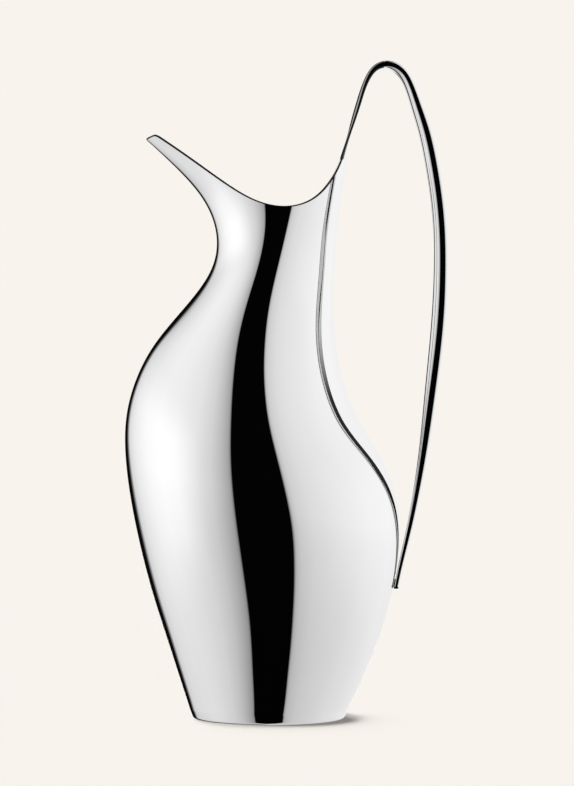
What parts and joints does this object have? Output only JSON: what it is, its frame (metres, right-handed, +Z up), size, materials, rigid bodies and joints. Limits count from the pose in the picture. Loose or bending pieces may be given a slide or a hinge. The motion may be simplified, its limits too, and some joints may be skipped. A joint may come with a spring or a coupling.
{
  "type": "water pitcher",
  "caption": "Tall mirror-polished metal pitcher with a leaning pear-shaped body, a narrow neck, a raised beak spout and a slender hollow loop handle.",
  "frame": {"origin": "centre of the standing ring, on the plane that the pitcher stands on", "axes": "+Z up, -X towards the spout, +X towards the handle, +Y to the right seen from behind the handle; the pitcher is symmetric about the XZ plane"},
  "size_m": [0.1413, 0.1144, 0.2871],
  "materials": {
    "body_polish": "polished",
    "handle_polish": "polished",
    "base_polish": "satin",
    "solder": "polished"
  },
  "bodies": {
    "root": {"body_lower_left": "body_polish", "body_lower_right": "body_polish", "body_belly_left": "body_polish", "body_belly_right": "body_polish", "body_neck_left": "body_polish", "body_neck_right": "body_polish", "front_seam": "solder", "back_seam": "solder", "base_disc": "base_polish", "base_seam": "solder", "handle_outer_shell": "handle_polish", "handle_inner_shell": "handle_polish", "handle_seam_left": "solder", "handle_seam_right": "solder", "handle_root_joint": "solder", "handle_foot_cap": "handle_polish", "handle_foot_joint": "solder"}
  },
  "joints": []
}
